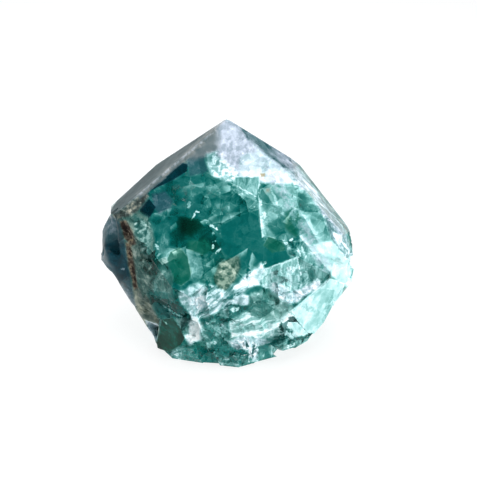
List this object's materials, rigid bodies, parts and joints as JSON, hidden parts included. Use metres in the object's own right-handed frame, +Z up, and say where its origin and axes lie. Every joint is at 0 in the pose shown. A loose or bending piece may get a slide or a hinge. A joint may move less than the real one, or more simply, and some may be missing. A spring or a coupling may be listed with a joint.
{
  "type": "fluorite point",
  "caption": "Broken lump of teal-green fluorite with its upper half ground to a blunt faceted point and its underside sawn flat so that it stands upright as a display stone.",
  "frame": {"origin": "middle of the sawn base, where the stone rests", "axes": "+Z up through the point; the broad front facet faces -Y; the longest way across lies along X"},
  "size_m": [0.0712, 0.0553, 0.063],
  "materials": {
    "fluorite": "clear to milky teal-green crystal, polished on the ground facets and glassy with frosted bruises on the broken flanks"
  },
  "bodies": {
    "root": {"fluorite_point": "fluorite"}
  },
  "joints": []
}
